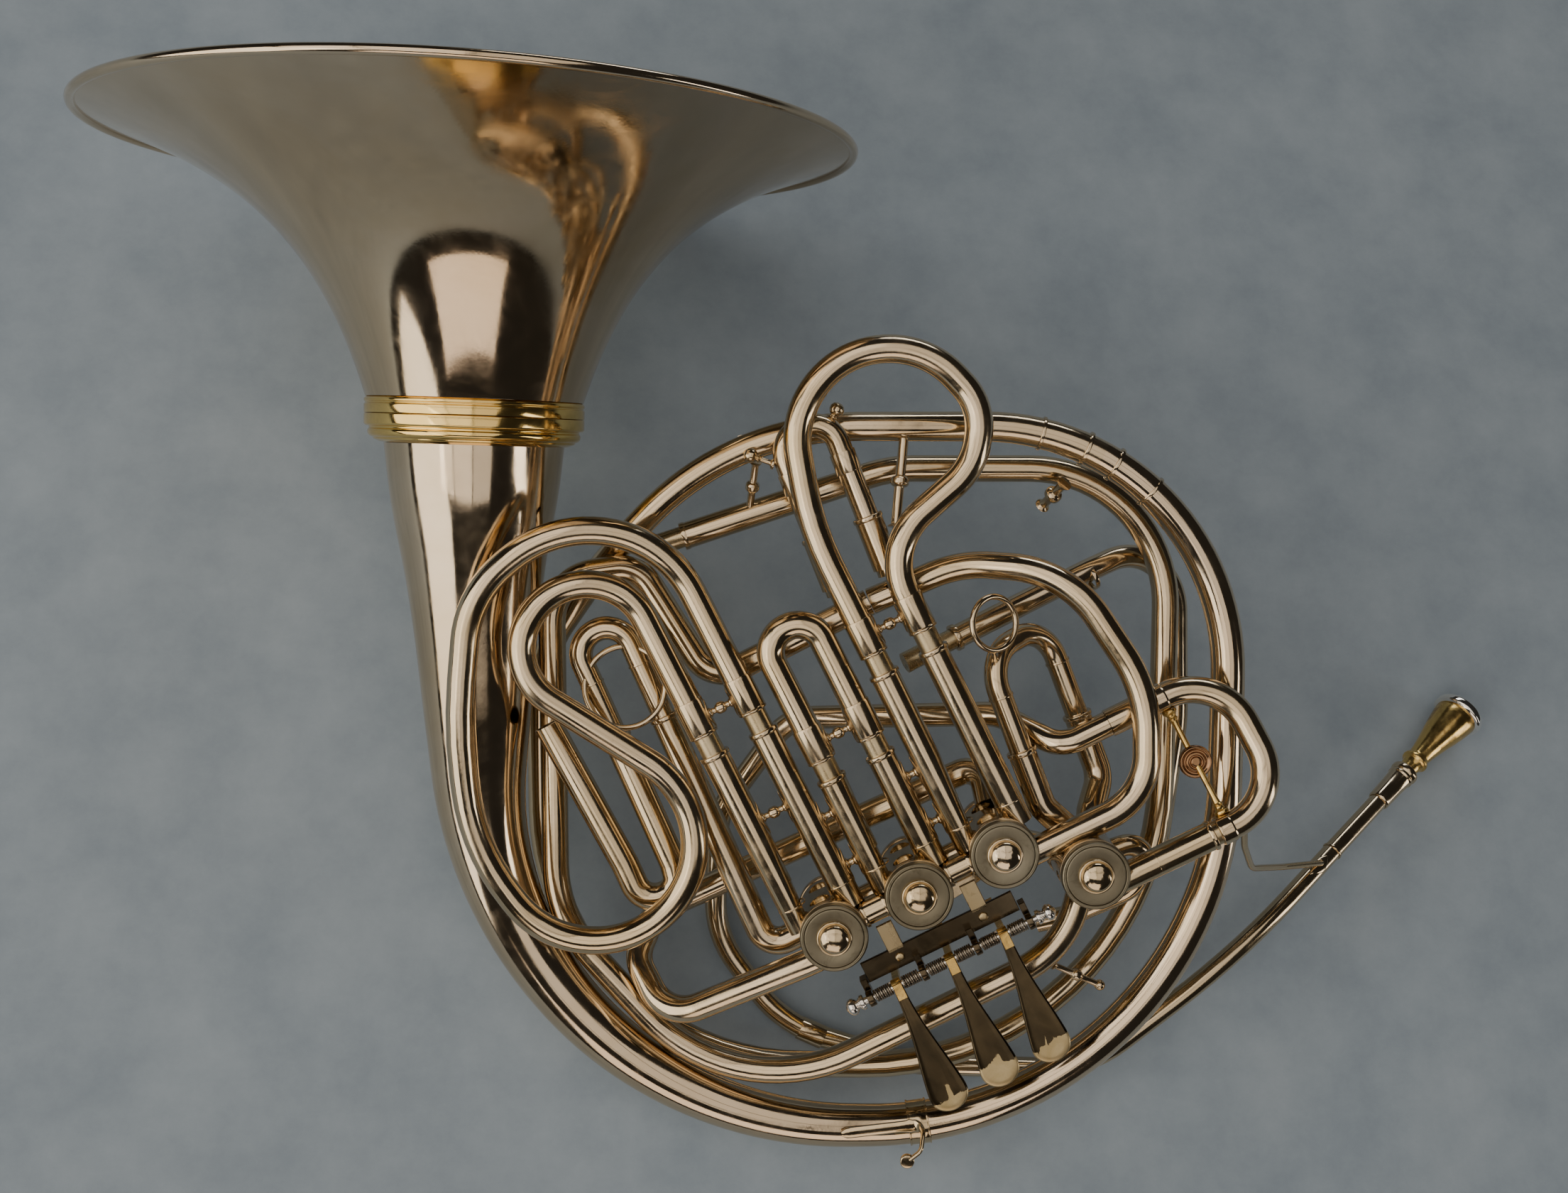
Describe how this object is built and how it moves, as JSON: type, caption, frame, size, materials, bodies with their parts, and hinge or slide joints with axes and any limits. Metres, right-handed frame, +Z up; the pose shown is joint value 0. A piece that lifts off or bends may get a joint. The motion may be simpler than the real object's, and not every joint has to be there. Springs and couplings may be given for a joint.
{
  "type": "french horn",
  "caption": "Double french horn with a screw-on bell, rotary valves, finger levers, pull-out slides and a separate mouthpiece, lying on its side.",
  "frame": {"origin": "centre of the footprint on the table", "axes": "+Z up; +X towards the mouthpiece, across the horn; +Y up the coil towards the bell"},
  "size_m": [0.6568, 0.4686, 0.297],
  "materials": {
    "aged_brass": "worn, warm lacquer brass",
    "cork": "cork",
    "grey_cap": "dull turned nickel with a bright knob",
    "nickel_silver": "mirror-polished nickel silver",
    "ring_brass": "polished brass",
    "silver_plate": "silver plate",
    "spring_steel": "dark wire",
    "steel": "bright steel",
    "stocking": "dull brassy slide tube",
    "tarnished": "dark tarnish with worn bright tips"
  },
  "bodies": {
    "body": {"back_branch": "nickel_silver", "back_branch_stub": "nickel_silver", "bb_slide_sleeves": "nickel_silver", "bearing_plates": "nickel_silver", "bell_tail": "nickel_silver", "body_bow": "nickel_silver", "body_ferrules": "nickel_silver", "body_ring": "ring_brass", "body_top_branch": "nickel_silver", "cork_bumpers": "cork", "f_slide_sleeves": "nickel_silver", "finger_hook": "nickel_silver", "first_valve_crook": "nickel_silver", "fourth_valve_branch": "nickel_silver", "fourth_valve_return": "nickel_silver", "guard_plate": "nickel_silver", "hinge_pins": "steel", "inner_loop": "nickel_silver", "leadpipe": "nickel_silver", "leadpipe_return": "nickel_silver", "lever_bracket": "tarnished", "lever_springs": "spring_steel", "main_slide_sleeves": "nickel_silver", "mouthpiece_receiver": "nickel_silver", "pipe_stay": "nickel_silver", "second_turn": "nickel_silver", "second_turn_stub": "nickel_silver", "soldered_stays": "nickel_silver", "valve_caps": "grey_cap", "valve_casing_1": "nickel_silver", "valve_casing_2": "nickel_silver", "valve_casing_3": "nickel_silver", "valve_casing_4": "nickel_silver", "valve_knuckles": "nickel_silver"},
    "bell": {"bell_flare": "nickel_silver", "bell_rim_wire": "nickel_silver", "bell_ring": "ring_brass"},
    "mouthpiece": {"mouthpiece_cup": "aged_brass", "mouthpiece_rim": "silver_plate"},
    "rotor_one": {"rotor_1": "stocking"},
    "rotor_two": {"rotor_2": "stocking"},
    "rotor_three": {"rotor_3": "stocking"},
    "rotor_four": {"rotor_4": "stocking"},
    "first_lever": {"lever_1": "tarnished"},
    "second_lever": {"lever_2": "tarnished"},
    "third_lever": {"lever_3": "tarnished"},
    "thumb_touch": {"thumb_lever": "nickel_silver"},
    "f1_slide": {"f1_slide_crook": "nickel_silver", "f1_slide_legs": "stocking"},
    "f2_slide": {"f2_slide_crook": "nickel_silver", "f2_slide_legs": "stocking"},
    "f3_slide": {"f3_slide_crook": "nickel_silver", "f3_slide_legs": "stocking"},
    "bb1_slide_body": {"bb1_slide": "nickel_silver"},
    "bb2_slide_body": {"bb2_slide": "nickel_silver"},
    "bb3_slide_body": {"bb3_slide": "nickel_silver"},
    "main_slide": {"main_slide_bow": "nickel_silver", "main_slide_legs": "stocking", "main_slide_stay": "aged_brass"}
  },
  "joints": [
    {"name": "bell_unscrews", "type": "slide", "parent": "body", "child": "bell", "axis": [-0.0077, 0.947, 0.3211], "range_m": [0, 0.03]},
    {"name": "mouthpiece_pulls_out", "type": "slide", "parent": "body", "child": "mouthpiece", "axis": [0.7472, 0.6499, -0.1392], "range_m": [0, 0.03]},
    {"name": "f1_tuning", "type": "slide", "parent": "body", "child": "f1_slide", "axis": [-0.4811, 0.8476, 0.224], "range_m": [-0.008, 0.012]},
    {"name": "f2_tuning", "type": "slide", "parent": "body", "child": "f2_slide", "axis": [-0.4811, 0.8476, 0.224], "range_m": [-0.007, 0.028]},
    {"name": "f3_tuning", "type": "slide", "parent": "body", "child": "f3_slide", "axis": [-0.4811, 0.8476, 0.224], "range_m": [-0.007, 0.045]},
    {"name": "bb1_tuning", "type": "slide", "parent": "body", "child": "bb1_slide_body", "axis": [-0.4351, 0.8686, 0.2373], "range_m": [0, 0.02]},
    {"name": "bb2_tuning", "type": "slide", "parent": "body", "child": "bb2_slide_body", "axis": [-0.4061, 0.8803, 0.2452], "range_m": [0, 0.025]},
    {"name": "bb3_tuning", "type": "slide", "parent": "body", "child": "bb3_slide_body", "axis": [-0.3963, 0.8841, 0.2477], "range_m": [0, 0.008]},
    {"name": "main_tuning", "type": "slide", "parent": "body", "child": "main_slide", "axis": [0.8676, 0.4238, 0.2601], "range_m": [-0.0015, 0.012]},
    {"name": "first_lever_press", "type": "hinge", "parent": "body", "child": "first_lever", "pos_m": [0.01023, -0.15749, 0.09332], "axis": [0.8676, 0.4238, 0.2601], "range_deg": [0, 12], "stiffness_Nm_per_rad": 0.4, "springref_deg": -6.88},
    {"name": "second_lever_press", "type": "hinge", "parent": "body", "child": "second_lever", "pos_m": [0.0314, -0.14715, 0.09967], "axis": [0.8676, 0.4238, 0.2601], "range_deg": [0, 12], "stiffness_Nm_per_rad": 0.4, "springref_deg": -6.88},
    {"name": "third_lever_press", "type": "hinge", "parent": "body", "child": "third_lever", "pos_m": [0.05257, -0.13681, 0.10601], "axis": [0.8676, 0.4238, 0.2601], "range_deg": [0, 12], "stiffness_Nm_per_rad": 0.4, "springref_deg": -6.88},
    {"name": "thumb_lever_press", "type": "hinge", "parent": "body", "child": "thumb_touch", "pos_m": [0.06675, -0.10408, 0.05729], "axis": [-0.4811, 0.8476, 0.224], "range_deg": [0, 8], "stiffness_Nm_per_rad": 0.4, "springref_deg": -6.88},
    {"name": "rotor_one_turn", "type": "hinge", "parent": "body", "child": "rotor_one", "pos_m": [-0.01279, -0.12531, 0.06499], "axis": [-0.1255, -0.3195, 0.9393], "range_deg": [0, 84]},
    {"name": "rotor_two_turn", "type": "hinge", "parent": "body", "child": "rotor_two", "pos_m": [0.02079, -0.10891, 0.07505], "axis": [-0.1255, -0.3195, 0.9393], "range_deg": [0, 84]},
    {"name": "rotor_three_turn", "type": "hinge", "parent": "body", "child": "rotor_three", "pos_m": [0.05436, -0.09251, 0.08512], "axis": [-0.1255, -0.3195, 0.9393], "range_deg": [0, 84]},
    {"name": "rotor_four_turn", "type": "hinge", "parent": "body", "child": "rotor_four", "pos_m": [0.09168, -0.10067, 0.08733], "axis": [-0.1255, -0.3195, 0.9393], "range_deg": [0, 84]}
  ],
  "couplings": [
    {"joint": "rotor_one_turn", "follows": "first_lever_press", "ratio": 7},
    {"joint": "rotor_two_turn", "follows": "second_lever_press", "ratio": 7},
    {"joint": "rotor_three_turn", "follows": "third_lever_press", "ratio": 7},
    {"joint": "rotor_four_turn", "follows": "thumb_lever_press", "ratio": 10.5}
  ]
}
